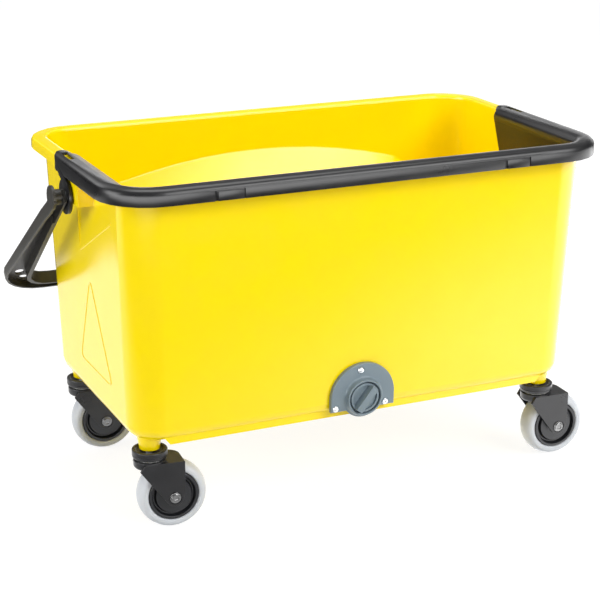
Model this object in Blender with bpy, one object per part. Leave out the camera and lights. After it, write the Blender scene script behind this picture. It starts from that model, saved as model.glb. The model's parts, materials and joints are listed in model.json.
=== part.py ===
"""Wheeled cleaning bucket: moulded tub, clip-on rim trim, swinging bail, drain and four swivel casters.

Metres, +Z up, standing on z = 0. X runs along the tub, and the drain is on the -Y side.
The tub is modelled about its own centre, and body_frame then centres the whole object on the origin.
"""
import math

import bmesh
import bpy
from mathutils import Matrix, Vector

# Driving dimensions of the tub
RIM_TOP = 0.3784
RIM_HALF_LENGTH = 0.2852
RIM_HALF_WIDTH = 0.1660
RIM_REACH = 0.0148
RIM_SKIRT = 0.0120
RIM_THICK = 0.0028
WALL = 0.0032
FLOOR_UNDER = 0.1044
FLOOR_THICK = 0.0036
FOOT_HALF_LENGTH = 0.2600
FOOT_HALF_WIDTH = 0.1415
CORNER_TOP = 0.040
CORNER_FOOT = 0.034
FOOT_ROUND = 0.014
CORNER_STEPS = 6
GAP = 0.0004

# Arched panel pressed into the back wall
ARCH_TOP = 0.3324
ARCH_BOTTOM = 0.1424
ARCH_HALF_WIDTH = 0.196
ARCH_RADIUS = 0.672
ARCH_CORNER = 0.020
ARCH_DEPTH = 0.020
ARCH_SHOULDER_FALL = 1.88
ARCH_SIDE_DRAFT = 0.35

# Lug block and relief on each end wall
BLOCK_FRONT = -0.042
BLOCK_BACK = 0.012
BLOCK_FOOT = 0.3374
BLOCK_REACH = 0.2830
RELIEF_APEX = (0.010, 0.2774)
RELIEF_RISE = 0.5
RELIEF_FRONT = -0.140
RELIEF_SKIN_FRONT = -0.108
RELIEF_SLOPE = 0.075
RELIEF_TOP = 0.3614

# Clip-on rim trim
TRIM_ENDS = {-1: 0.034, 1: 0.052}
END_ROUND = {-1: 0.017, 1: 0.011}
END_STEPS = 6
FIN_BACK = 0.0165
TRIM_OUT = 0.0026
TRIM_RISE = 0.0029
APRON_FRONT = -0.1120
APRON_FOOT = 0.3125
APRON_FACE = 0.2584
APRON_THICK = 0.0020
APRON_SLANT = 0.40
SLOT_FRONT = 0.044
SLOT_BACK = 0.013
CLIP_X = 0.165
CLIP_WIDTH = 0.030
CLIP_TOP = 0.3749
CLIP_GROOVE = 0.0012

# Bail handle, drawn flat with its arms along +Y, then hung at its rest angle
PIVOT_Y = -0.010
PIVOT_Z = 0.3424
LUG_RADIUS = 0.0190
LUG_THICK = 0.0036
LUG_STEPS = 24
PIN_RADIUS = 0.0048
BAIL_INNER = 0.2888
BAIL_EAR_OUT = 0.3030
BAIL_NECK_OUT = 0.3055
BAIL_ARM_OUT = 0.3180
BAIL_NEAR = 0.2160
BAIL_FAR = 0.2425
BAIL_WEB_TOP = 0.0045
BAIL_FLANGE_FOOT = -0.0112
BAIL_SKIN = 0.0030
BAIL_INNER_SKIN = 0.0055
BAIL_ELBOW = 0.055
BAIL_ELBOW_IN = 0.028
CLEVIS_DEPTH = 0.0420
EAR_RADIUS = 0.0130
HUB_RADIUS = 0.0085
BAIL_DROP = math.radians(39.0)

# Casters
CASTER_X = 0.2374
CASTER_Y = 0.1145
SOCKET_RADIUS = 0.0132
SOCKET_TAPER = 0.0022
RIB_CLEAR = 0.0085
RIB_DEPTH = 0.0046
RIB_THICK = 0.0030
RIB_SLANT = 0.0070
SOCKET_FOOT = 0.0912
SOCKET_TOP = 0.1344
STEM_RADIUS = 0.0055
STEM_HEAD = 0.0075
STEM_HEAD_FOOT = 0.0730
CAP_RADIUS = 0.0190
CAP_TOP = 0.0907
CAP_FOOT = 0.0812
FORK_TOP = 0.0792
FORK_UNDER = 0.0761
SKIRT_FOOT = 0.0705
FORK_HALF_WIDTH = 0.0182
FORK_CHEEK = 0.0034
FORK_RING = 0.0176
TRAIL = 0.0222
HOOD_END = 0.0333
HOOD_DROP = 0.0011
WHEEL_RADIUS = 0.0375
TYRE_HALF_WIDTH = 0.0122
TYRE_BORE = 0.0275
WHEEL_STEPS = 20
AXLE_RADIUS = 0.0040
AXLE_HEAD = 0.0056
CASTER_YAW = {"fl": -5.0, "fr": -2.0, "bl": -4.0, "br": 5.0}
CASTER_SIDE = {"fl": (-1, -1), "fr": (1, -1), "bl": (-1, 1), "br": (1, 1)}

# Drain in the front wall
DRAIN_X = -0.0045
DRAIN_Z = 0.1234
DRAIN_PLATE_HALF = 0.0385
DRAIN_PLATE_FOOT = -0.0145
DRAIN_PLATE_THICK = 0.0030
GASKET_THICK = 0.0015
COLLAR_OUT = 0.0220
COLLAR_IN = 0.0188
COLLAR_REACH = 0.0180
SPIGOT_OUT = 0.0165
SPIGOT_IN = 0.0135
SPIGOT_DEPTH = 0.0120
DRAIN_STEPS = 24
SCREW_BORE = 0.0020
SCREW_BITE = 0.0022
SCREW_SPOTS = (("top", 0.0, 0.0310), ("left", -0.0307, -0.0095), ("right", 0.0307, -0.0095))


def clear_scene():
    for item in list(bpy.data.objects):
        bpy.data.objects.remove(item, do_unlink=True)


def finish(name, colour, roughness, metallic=0.0):
    made = bpy.data.materials.new(name)
    made.use_nodes = True
    shader = made.node_tree.nodes["Principled BSDF"]
    shader.inputs["Base Color"].default_value = (*colour, 1.0)
    shader.inputs["Roughness"].default_value = roughness
    shader.inputs["Metallic"].default_value = metallic
    return made


def loft(rings, closed=False):
    """Skin rings of equal length; the ends are capped, or joined to each other when closed."""
    bm = bmesh.new()
    loops = [[bm.verts.new(point) for point in ring] for ring in rings]
    pairs = list(zip(loops, loops[1:]))
    if closed:
        pairs.append((loops[-1], loops[0]))
    else:
        bm.faces.new(loops[0])
        bm.faces.new(loops[-1])
    for low, high in pairs:
        for i in range(len(low)):
            j = (i + 1) % len(low)
            bm.faces.new((low[i], low[j], high[j], high[i]))
    bmesh.ops.recalc_face_normals(bm, faces=bm.faces)
    return bm


def circle(radius, height, steps):
    turn = 2 * math.pi / steps
    return [Vector((radius * math.cos((k + 0.5) * turn), radius * math.sin((k + 0.5) * turn), height))
            for k in range(steps)]


def turned(profile, steps, closed=False):
    """Turn (radius, height) points about Z; a closed profile gives a ring with a bore."""
    return loft([circle(radius, height, steps) for radius, height in profile], closed)


def bore_radius(shaft, steps):
    """Radius at the corners of a faceted bore whose flats clear a round shaft."""
    return (shaft + GAP) / math.cos(math.pi / steps)


def prism(outline, shift):
    return loft([outline, [point + Vector(shift) for point in outline]])


def box(low, high):
    outline = [Vector((x, y, low[2])) for x, y in
               ((low[0], low[1]), (high[0], low[1]), (high[0], high[1]), (low[0], high[1]))]
    return prism(outline, (0, 0, high[2] - low[2]))


def arc(centre, radius, start, end, steps):
    """Points of a flat arc, in degrees, as (a, b) pairs."""
    angles = [math.radians(start + (end - start) * k / steps) for k in range(steps + 1)]
    return [(centre[0] + radius * math.cos(a), centre[1] + radius * math.sin(a)) for a in angles]


def solid(name, bm, look=None, parent=None, turn=None):
    """Make an object from a bmesh, turned first if a matrix is given."""
    if turn:
        bmesh.ops.transform(bm, matrix=turn, verts=bm.verts)
    bmesh.ops.recalc_face_normals(bm, faces=bm.faces)
    mesh = bpy.data.meshes.new(name)
    bm.to_mesh(mesh)
    bm.free()
    made = bpy.data.objects.new(name, mesh)
    bpy.context.collection.objects.link(made)
    if look:
        mesh.materials.append(look)
        mesh.shade_smooth()
        mesh.set_sharp_from_angle(angle=math.radians(32))
    made.parent = parent
    return made


def combine(target, shapes, operation):
    """Add or cut shapes with an exact Boolean and keep only the result."""
    for shape in shapes:
        tool = solid(target.name + "_tool", shape, parent=target.parent)
        change = target.modifiers.new("combine", "BOOLEAN")
        change.operation = operation
        change.solver = "EXACT"
        change.object = tool
        evaluated = target.evaluated_get(bpy.context.evaluated_depsgraph_get())
        old = target.data
        target.data = bpy.data.meshes.new_from_object(evaluated)
        target.modifiers.clear()
        bpy.data.meshes.remove(old)
        bpy.data.objects.remove(tool, do_unlink=True)
    target.data.set_sharp_from_angle(angle=math.radians(32))


def empty(name, place, turn=(0, 0, 0), parent=None):
    made = bpy.data.objects.new(name, None)
    made.location = place
    made.rotation_euler = turn
    made.parent = parent
    bpy.context.collection.objects.link(made)
    return made


# Tub

RIM_UNDER = RIM_TOP - RIM_THICK
WALL_HALF_LENGTH = RIM_HALF_LENGTH - RIM_REACH
WALL_HALF_WIDTH = RIM_HALF_WIDTH - RIM_REACH


def wall_share(z):
    return (z - FLOOR_UNDER) / (RIM_UNDER - FLOOR_UNDER)


def wall_x(z):
    return FOOT_HALF_LENGTH + (WALL_HALF_LENGTH - FOOT_HALF_LENGTH) * wall_share(z)


def wall_y(z):
    return FOOT_HALF_WIDTH + (WALL_HALF_WIDTH - FOOT_HALF_WIDTH) * wall_share(z)


def plan_ring(z, offset, wall_z=None):
    """Rounded-rectangle ring of the tub wall at wall_z, moved outwards by offset, at height z."""
    wall_z = z if wall_z is None else wall_z
    radius = CORNER_FOOT + (CORNER_TOP - CORNER_FOOT) * wall_share(wall_z) + offset
    across, along = wall_y(wall_z) + offset - radius, wall_x(wall_z) + offset - radius
    ring = []
    for start, x, y in ((0, 1, 1), (90, -1, 1), (180, -1, -1), (270, 1, -1)):
        corner = (x * along, y * across)
        ring += [Vector((a, b, z)) for a, b in arc(corner, radius, start, start + 90, CORNER_STEPS)]
    return ring


def tub_rings():
    rings = []
    for angle in (0, 30, 60, 90):
        dip = math.radians(angle)
        inset = FOOT_ROUND * (1 - math.sin(dip))
        rings.append(plan_ring(FLOOR_UNDER + FOOT_ROUND * (1 - math.cos(dip)), -inset))
    rings.append(plan_ring(RIM_UNDER, 0))
    rings.append(plan_ring(RIM_UNDER, RIM_REACH - RIM_THICK))
    rings.append(plan_ring(RIM_TOP - RIM_SKIRT, RIM_REACH - RIM_THICK, RIM_UNDER))
    rings.append(plan_ring(RIM_TOP - RIM_SKIRT, RIM_REACH, RIM_UNDER))
    rings.append(plan_ring(RIM_TOP - 0.0040, RIM_REACH, RIM_UNDER))
    rings.append(plan_ring(RIM_TOP - 0.0012, RIM_REACH - 0.0012, RIM_UNDER))
    rings.append(plan_ring(RIM_TOP, RIM_REACH - 0.0040, RIM_UNDER))
    rings.append(plan_ring(RIM_TOP, 0.0008, RIM_UNDER))
    rings.append(plan_ring(RIM_TOP - 0.0012, -WALL + 0.0012, RIM_UNDER))
    rings.append(plan_ring(RIM_TOP - 0.0040, -WALL))
    round_in = FOOT_ROUND - WALL
    for angle in (90, 60, 30, 0):
        dip = math.radians(angle)
        inset = WALL + round_in * (1 - math.sin(dip))
        rings.append(plan_ring(FLOOR_UNDER + FLOOR_THICK + round_in * (1 - math.cos(dip)), -inset))
    return rings


def arch_ring(depth, inset_top, inset_side):
    """Arched outline at the given depth inside the back wall, leaning as the wall does."""
    top = ARCH_TOP - depth * ARCH_SHOULDER_FALL - inset_top
    half = ARCH_HALF_WIDTH - depth * ARCH_SIDE_DRAFT - inset_side
    foot = ARCH_BOTTOM + depth * ARCH_SIDE_DRAFT + inset_side
    sweep = math.degrees(math.asin((half - ARCH_CORNER) / ARCH_RADIUS))
    shoulder = top - ARCH_RADIUS * (1 - math.cos(math.radians(sweep))) - ARCH_CORNER
    points = arc((half - ARCH_CORNER, foot + ARCH_CORNER), ARCH_CORNER, -90, 0, 3)
    points += arc((half - ARCH_CORNER, shoulder), ARCH_CORNER, 0, 90 - sweep, 3)
    points += arc((0, top - ARCH_RADIUS), ARCH_RADIUS, 90 - sweep, 90 + sweep, 10)[1:-1]
    points += arc((ARCH_CORNER - half, shoulder), ARCH_CORNER, 90 + sweep, 180, 3)
    points += arc((ARCH_CORNER - half, foot + ARCH_CORNER), ARCH_CORNER, 180, 270, 3)
    return [Vector((x, wall_y(z) - WALL - depth, z)) for x, z in points]


def arch_skin():
    return loft([arch_ring(-WALL * 0.5, 0, 0), arch_ring(ARCH_DEPTH, 0, 0)])


def arch_cut():
    top = WALL * math.hypot(1, ARCH_SHOULDER_FALL)
    side = WALL * math.hypot(1, ARCH_SIDE_DRAFT)
    return loft([arch_ring(-0.020, top, side), arch_ring(ARCH_DEPTH - WALL, top, side)])


def relief_depth(y, z):
    """How far the relief plane lies inside the end wall, from zero along its slanting crease."""
    run = Vector((-1.0, RELIEF_RISE)).normalized()
    return RELIEF_SLOPE * ((z - RELIEF_APEX[1]) * -run.x + (y - RELIEF_APEX[0]) * run.y)


def relief_shape(side, front, outer, inner_offset, spread):
    """Wedge over the relief, from the plane x = outer to the relief plane moved in by inner_offset."""
    crease = RELIEF_APEX[1] + (RELIEF_APEX[0] - front) * RELIEF_RISE
    corners = [(RELIEF_APEX[0] + spread, RELIEF_APEX[1] - spread),
               (RELIEF_APEX[0] + spread, RELIEF_TOP + spread),
               (front, RELIEF_TOP + spread), (front, crease - spread)]
    inner = [Vector((side * (wall_x(z) - relief_depth(y, z) - inner_offset), y, z)) for y, z in corners]
    return loft([[Vector((side * outer(z), y, z)) for y, z in corners], inner])


def lug_block(side, foot, top, depth):
    """Block behind the bail's lug, let into the wall by half its thickness below the given depth."""
    corners = ((BLOCK_FRONT, foot), (BLOCK_BACK, foot), (BLOCK_BACK, top), (BLOCK_FRONT, top))
    outer = [Vector((side * BLOCK_REACH, y, z)) for y, z in corners]
    inner = [Vector((side * (wall_x(z) - depth(y, z) - WALL / 2), y, z)) for y, z in corners]
    return loft([outer, inner])


def lug_blocks():
    """The left end alone has a block; it is in two parts, below and above the relief's top."""
    return [lug_block(-1, BLOCK_FOOT, RELIEF_TOP, relief_depth),
            lug_block(-1, RELIEF_TOP - GAP, RIM_UNDER + GAP, lambda y, z: 0)]


def caster_spots():
    return [(tag, x * CASTER_X, y * CASTER_Y) for tag, (x, y) in CASTER_SIDE.items()]


def foot_rib(reach):
    """Side view of a rib as (along, up) points, with slanted ends."""
    return ((-reach + RIB_SLANT, FLOOR_UNDER - RIB_DEPTH), (reach - RIB_SLANT, FLOOR_UNDER - RIB_DEPTH),
            (reach, FLOOR_UNDER + 0.004), (-reach, FLOOR_UNDER + 0.004))


def foot_ribs():
    """Shallow skirt under the floor, straight between the caster sockets."""
    ribs = []
    for side in (-1, 1):
        y = side * (FOOT_HALF_WIDTH - 0.0055)
        outline = [Vector((a, y, z)) for a, z in foot_rib(CASTER_X - RIB_CLEAR)]
        ribs.append(prism(outline, (0, -side * RIB_THICK, 0)))
        x = side * (FOOT_HALF_LENGTH - 0.0130)
        outline = [Vector((x, a, z)) for a, z in foot_rib(CASTER_Y - RIB_CLEAR - RIB_SLANT)]
        ribs.append(prism(outline, (-side * RIB_THICK, 0, 0)))
    return ribs


def make_tub(look, parent, drain):
    tub = solid("tub", loft(tub_rings()), look, parent)
    added = [arch_skin()]
    cut = [arch_cut()]
    for side in (-1, 1):
        added.append(relief_shape(side, RELIEF_SKIN_FRONT, lambda z: wall_x(z) - WALL * 0.5, WALL, WALL))
        cut.append(relief_shape(side, RELIEF_FRONT, lambda z: RIM_HALF_LENGTH - RIM_THICK - GAP, 0, 0))
    combine(tub, added, "UNION")
    combine(tub, cut, "DIFFERENCE")
    sockets = []
    bores = []
    for tag, x, y in caster_spots():
        place = Matrix.Translation((x, y, 0))
        boss = turned(((SOCKET_RADIUS - SOCKET_TAPER, SOCKET_FOOT), (SOCKET_RADIUS, FLOOR_UNDER),
                       (SOCKET_RADIUS, SOCKET_TOP - 0.004), (SOCKET_RADIUS - 0.004, SOCKET_TOP)), 16)
        bore_size = bore_radius(STEM_RADIUS, 12)
        bore = turned(((bore_size, SOCKET_FOOT - 0.01), (bore_size, SOCKET_TOP - 0.0035)), 12)
        for shape in (boss, bore):
            bmesh.ops.transform(shape, matrix=place, verts=shape.verts)
        sockets.append(boss)
        bores.append(bore)
    combine(tub, lug_blocks() + foot_ribs() + sockets, "UNION")
    hole = turned(((SPIGOT_OUT + GAP, -0.02), (SPIGOT_OUT + GAP, 0.02)), DRAIN_STEPS)
    holes = [(hole, Vector((0, 0, 0)))]
    for tag, x, z in SCREW_SPOTS:
        holes.append((turned(((SCREW_BORE, -SCREW_BITE - GAP), (SCREW_BORE, 0.02)), 8), Vector((x, 0, z))))
    for shape, spot in holes:
        place = drain.matrix_basis @ Matrix.Translation(spot) @ Matrix.Rotation(math.pi / 2, 4, "X")
        bmesh.ops.transform(shape, matrix=place, verts=shape.verts)
    combine(tub, bores + [shape for shape, spot in holes], "DIFFERENCE")
    return tub


# Rim trim

def trim_profile():
    """Channel section as (out from the rim face, up from the rim top) points."""
    skirt_foot = -RIM_SKIRT - 0.0022
    return [(TRIM_OUT, skirt_foot), (TRIM_OUT, -0.0040), (0.0014, -0.0002), (-0.0014, 0.0020),
            (-0.0048, TRIM_RISE), (-0.0118, TRIM_RISE), (-0.0162, 0.0016), (-0.0192, -0.0014),
            (-0.0207, -0.0075), (-0.0189, -0.0075), (-0.0189, -0.0044), (-0.0176, -0.0004),
            (-0.0142, GAP), (-0.0039, GAP), (-0.0008, -0.0007), (GAP, -0.0040),
            (GAP, -RIM_SKIRT - GAP), (-0.0020, -RIM_SKIRT - GAP), (-0.0020, skirt_foot)]


def trim_stations():
    """Places along the rim face with the outward direction at each."""
    radius = CORNER_TOP + RIM_REACH
    along, across = RIM_HALF_LENGTH - radius, radius - RIM_HALF_WIDTH
    stations = [((-RIM_HALF_LENGTH, TRIM_ENDS[-1]), 180.0)]
    for x, start in ((-along, 180.0), (along, 270.0)):
        spots = arc((x, across), radius, start, start + 90, CORNER_STEPS)
        stations += [(spot, start + 90.0 * k / CORNER_STEPS) for k, spot in enumerate(spots)]
    stations.append(((RIM_HALF_LENGTH, TRIM_ENDS[1]), 360.0))
    return stations


def trim_ring(spot, heading):
    out = Vector((math.cos(math.radians(heading)), math.sin(math.radians(heading)), 0))
    base = Vector((spot[0], spot[1], RIM_TOP))
    return [base + out * reach + Vector((0, 0, rise)) for reach, rise in trim_profile()]


def lug_plate(side):
    """Flat cheek that drops from the end of the trim and carries the pivot disc."""
    face = RIM_HALF_LENGTH + TRIM_OUT
    tangent = arc((PIVOT_Y, PIVOT_Z), LUG_RADIUS - 0.0005, 60, 120, 1)
    outline = [(FIN_BACK, RIM_TOP - 0.005), (FIN_BACK - 0.009, RIM_TOP - 0.0165), tangent[0],
               (PIVOT_Y, PIVOT_Z), tangent[1], (PIVOT_Y + 0.001, RIM_TOP - 0.012), (PIVOT_Y, RIM_TOP - 0.005)]
    points = [Vector((side * face, y, z)) for y, z in outline]
    return prism(points, (-side * (TRIM_OUT - GAP), 0, 0))


def lug_disc(side, radius, thick):
    bm = turned(((radius, 0), (radius, thick)), LUG_STEPS)
    place = Vector((side * (RIM_HALF_LENGTH + TRIM_OUT), PIVOT_Y, PIVOT_Z))
    turn = Matrix.Translation(place) @ Matrix.Rotation(-side * math.pi / 2, 4, "Y")
    bmesh.ops.transform(bm, matrix=turn, verts=bm.verts)
    return bm


def apron(side):
    """Panel that hangs from the trim's lip inside the end wall, its rear edge slanting forwards."""
    lip = RIM_HALF_LENGTH - 0.0207
    back = APRON_FACE + APRON_THICK
    outline = ((lip + 0.0015, RIM_TOP - 0.0069), (lip + 0.0015, RIM_TOP - 0.0024),
               (lip - 0.0030, RIM_TOP - 0.0030), (APRON_FACE + 0.0006, RIM_TOP - 0.0052),
               (APRON_FACE, RIM_TOP - 0.0080), (APRON_FACE, APRON_FOOT), (back, APRON_FOOT),
               (back, RIM_TOP - 0.0100))
    front = [Vector((side * x, APRON_FRONT, z)) for x, z in outline]
    start = TRIM_ENDS[side] - END_ROUND[side]
    rear = [Vector((side * x, start - APRON_SLANT * (RIM_TOP - z), z)) for x, z in outline]
    return loft([front, rear])


def end_cut(side):
    """Waste beyond the trim's end, which is rounded in plan from one edge of the channel to the other."""
    outer, inner = RIM_HALF_LENGTH + TRIM_OUT, RIM_HALF_LENGTH - 0.0207
    middle, half = (outer + inner) / 2, (outer - inner) / 2
    start = TRIM_ENDS[side] - END_ROUND[side]
    beyond = TRIM_ENDS[side] + 0.01
    outline = [(middle + half * x, start + END_ROUND[side] * y)
               for x, y in arc((0, 0), 1.0, 0, 180, END_STEPS)]
    outline += [(inner - 0.004, start), (inner - 0.004, beyond), (outer + 0.004, beyond),
                (outer + 0.004, start)]
    points = [Vector((side * x, y, RIM_TOP - 0.05)) for x, y in outline]
    return prism(points, (0, 0, 0.1))


def clip_grooves(centre):
    """Three grooves that outline a snap tongue in the front skirt."""
    face = -RIM_HALF_WIDTH - TRIM_OUT
    foot = RIM_TOP - RIM_SKIRT - 0.004
    grooves = []
    for x, wide in ((-CLIP_WIDTH / 2, 0.004), (CLIP_WIDTH / 2, CLIP_GROOVE)):
        grooves.append(box((centre + x - wide / 2, face - 0.002, foot),
                           (centre + x + wide / 2, face + CLIP_GROOVE, CLIP_TOP)))
    grooves.append(box((centre - CLIP_WIDTH / 2, face - 0.002, CLIP_TOP - CLIP_GROOVE),
                       (centre + CLIP_WIDTH / 2, face + CLIP_GROOVE, CLIP_TOP)))
    return grooves


def make_trim(look, parent):
    trim = solid("rim_trim", loft([trim_ring(*station) for station in trim_stations()]), look, parent)
    cuts = []
    for side in (-1, 1):
        combine(trim, [end_cut(side)], "DIFFERENCE")
        combine(trim, [lug_plate(side), lug_disc(side, LUG_RADIUS, LUG_THICK), apron(side)], "UNION")
        slot = sorted((side * (RIM_HALF_LENGTH - 0.0045), side * (RIM_HALF_LENGTH - 0.0125)))
        cuts.append(box((slot[0], TRIM_ENDS[side] - SLOT_FRONT, RIM_TOP),
                        (slot[1], TRIM_ENDS[side] - SLOT_BACK, RIM_TOP + 0.01)))
        cuts.append(lug_disc(side, bore_radius(PIN_RADIUS, LUG_STEPS), LUG_THICK * 2))
        cuts += clip_grooves(side * CLIP_X)
    combine(trim, cuts, "DIFFERENCE")
    return trim


def make_pin(name, side, look, parent):
    """Headed pivot pin: the head sits behind the lug, the shank runs out into the bail's hub."""
    inside = RIM_HALF_LENGTH + TRIM_OUT - LUG_THICK
    profile = ((PIN_RADIUS, inside - 0.0008), (PIN_RADIUS, BAIL_EAR_OUT - BAIL_SKIN - GAP * 2))
    bm = turned(profile, 16)
    turn = Matrix.Translation((0, PIVOT_Y, PIVOT_Z)) @ Matrix.Rotation(side * math.pi / 2, 4, "Y")
    return solid(name, bm, look, parent, turn)


# Bail handle

def bail_ring(inset, height, inner_inset=None):
    """One closed U outline of the bail at a height, drawn inwards by inset."""
    inner, near = BAIL_INNER + (inset if inner_inset is None else inner_inset), BAIL_NEAR + inset
    ear, neck, arm, far = (size - inset for size in (BAIL_EAR_OUT, BAIL_NECK_OUT, BAIL_ARM_OUT, BAIL_FAR))
    turn_out, turn_in = BAIL_ELBOW - inset, BAIL_ELBOW_IN + inset
    head = -HUB_RADIUS - 0.001 + inset
    right = [(ear, head), (ear, 0.016), (neck, 0.034)]
    right += arc((arm - turn_out, far - turn_out), turn_out, 0, 90, 6)
    left = [(-x, y) for x, y in reversed(right)]
    back_left = [(-inner, head)]
    back = arc((inner - turn_in, near - turn_in), turn_in, 90, 0, 4)
    back_left += [(-x, y) for x, y in reversed(back)]
    points = right + left + back_left + back + [(inner, head)]
    return [Vector((x, y, height)) for x, y in points]


def make_bail(look, parent):
    body = loft([bail_ring(0.0006, BAIL_FLANGE_FOOT), bail_ring(0, BAIL_FLANGE_FOOT + 0.001),
                 bail_ring(0, BAIL_WEB_TOP - 0.0015), bail_ring(0.0015, BAIL_WEB_TOP)])
    bail = solid("bail_handle", body, look, parent)
    hollow = loft([bail_ring(BAIL_SKIN, height, BAIL_INNER_SKIN)
                   for height in (BAIL_FLANGE_FOOT - 0.01, BAIL_WEB_TOP - BAIL_SKIN)])
    clevis = []
    for side in (-1, 1):
        low, high = sorted((side * (BAIL_INNER + BAIL_SKIN), side * (BAIL_EAR_OUT - BAIL_SKIN)))
        clevis.append(box((low, -HUB_RADIUS - 0.002, -0.05), (high, CLEVIS_DEPTH, 0.05)))
    combine(bail, [hollow] + clevis, "DIFFERENCE")
    added, cuts = [], []
    for side in (-1, 1):
        turn = Matrix.Rotation(side * math.pi / 2, 4, "Y")
        hub = turned(((HUB_RADIUS, BAIL_INNER), (HUB_RADIUS, BAIL_EAR_OUT - 0.001)), 16)
        ear = turned(((EAR_RADIUS, BAIL_EAR_OUT - BAIL_SKIN), (EAR_RADIUS, BAIL_EAR_OUT)), 20)
        bore_size = bore_radius(PIN_RADIUS, 16)
        bore = turned(((bore_size, BAIL_INNER - 0.01), (bore_size, BAIL_EAR_OUT - BAIL_SKIN)), 16)
        for shape in (hub, ear, bore):
            bmesh.ops.transform(shape, matrix=turn, verts=shape.verts)
        added += [hub, ear]
        cuts.append(bore)
        for x, y, angle in ((0.0088, -0.012, 20), (0.0005, 0.0045, 45)):
            cuts.append(oval_slot(side * (BAIL_INNER + x), BAIL_NEAR + y, side * angle))
    for k in range(-2, 3):
        cuts.append(oval_slot(k * 0.1, (BAIL_NEAR + BAIL_FAR) / 2, 90))
    combine(bail, added, "UNION")
    combine(bail, cuts, "DIFFERENCE")
    return bail


def oval_slot(x, y, angle):
    """Slot through the bail's web, its length turned by angle from the arm's direction."""
    half, radius = 0.0012, 0.0046
    outline = arc((0, half), radius, 0, 180, 3) + arc((0, -half), radius, 180, 360, 3)
    bm = prism([Vector((a, b, -0.006)) for a, b in outline], (0, 0, 0.02))
    turn = Matrix.Translation((x, y, 0)) @ Matrix.Rotation(math.radians(angle), 4, "Z")
    bmesh.ops.transform(bm, matrix=turn, verts=bm.verts)
    return bm


# Casters

def fork_cheek_outline():
    """Side view of the fork as (along the trail, up) points."""
    axle = (TRAIL, WHEEL_RADIUS)
    outline = [(-0.0100, FORK_TOP - HOOD_DROP), (-0.0145, FORK_TOP - 0.0085)]
    outline += arc(axle, 0.0098, 222, 330, 4)
    outline += [(HOOD_END, WHEEL_RADIUS + 0.004), (HOOD_END, FORK_TOP - HOOD_DROP)]
    return outline


def make_fork(tag, look, parent):
    half = FORK_HALF_WIDTH
    fork_ring = ((FORK_RING - 0.0015, SKIRT_FOOT), (FORK_RING, SKIRT_FOOT + 0.002), (FORK_RING, FORK_TOP))
    fork = solid("caster_fork_" + tag, turned(fork_ring, 16), look, parent)
    wide, end = half - GAP, HOOD_END - GAP
    plan = [(-0.0095, wide), (-0.0095, -wide), (end, -wide)]
    plan += arc((end - 0.01, wide - 0.01), 0.01, 0, 90, 3)
    thick = FORK_TOP - HOOD_DROP - GAP - FORK_UNDER
    hood = prism([Vector((x, y, FORK_UNDER)) for x, y in plan], (0, 0, thick))
    cheeks = []
    for y in (-half, half - FORK_CHEEK):
        cheeks.append(prism([Vector((u, y, z)) for u, z in fork_cheek_outline()], (0, FORK_CHEEK, 0)))
    throat = box((0.0005, -half, SKIRT_FOOT - 0.01), (half * 2, half, FORK_UNDER + GAP))
    combine(fork, [throat], "DIFFERENCE")
    combine(fork, [hood] + cheeks, "UNION")
    stem_size, axle_size = bore_radius(STEM_RADIUS, 10), bore_radius(AXLE_RADIUS, 10)
    stem_bore = turned(((stem_size, FORK_UNDER - 0.01), (stem_size, FORK_TOP + 0.01)), 10)
    axle_bore = turned(((axle_size, -half * 2), (axle_size, half * 2)), 10)
    turn = Matrix.Translation((TRAIL, 0, WHEEL_RADIUS)) @ Matrix.Rotation(math.pi / 2, 4, "X")
    bmesh.ops.transform(axle_bore, matrix=turn, verts=axle_bore.verts)
    pocket = turned(((STEM_HEAD + 0.001, SKIRT_FOOT - 0.01), (STEM_HEAD + 0.001, FORK_UNDER + GAP / 2)), 10)
    combine(fork, [stem_bore, axle_bore, pocket], "DIFFERENCE")
    return fork


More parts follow.
